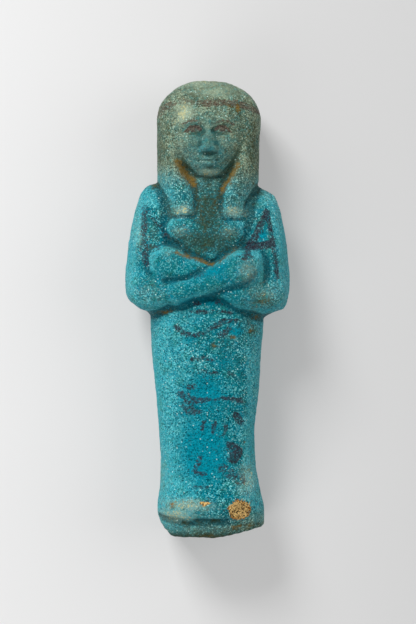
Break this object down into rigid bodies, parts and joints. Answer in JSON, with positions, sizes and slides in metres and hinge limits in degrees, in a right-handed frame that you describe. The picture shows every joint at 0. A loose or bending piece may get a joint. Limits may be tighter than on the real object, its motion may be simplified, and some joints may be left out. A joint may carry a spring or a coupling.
{
  "type": "ushabti figurine",
  "caption": "Small mummiform funerary figurine of glazed faience with a long wig, crossed arms and a worn foot, lying on its flat back.",
  "frame": {"origin": "on the surface the figurine lies on, under the middle of its bounding box", "axes": "+Y along the figure from the feet to the crown, +Z out of the chest, +X to the right of a viewer who faces the figure"},
  "size_m": [0.0398, 0.1092, 0.0263],
  "materials": {
    "faience_glaze": "granular turquoise glaze, semi-gloss, with faded purple-brown brush marks and buff chips"
  },
  "bodies": {
    "root": {"ushabti": "faience_glaze"}
  },
  "joints": []
}
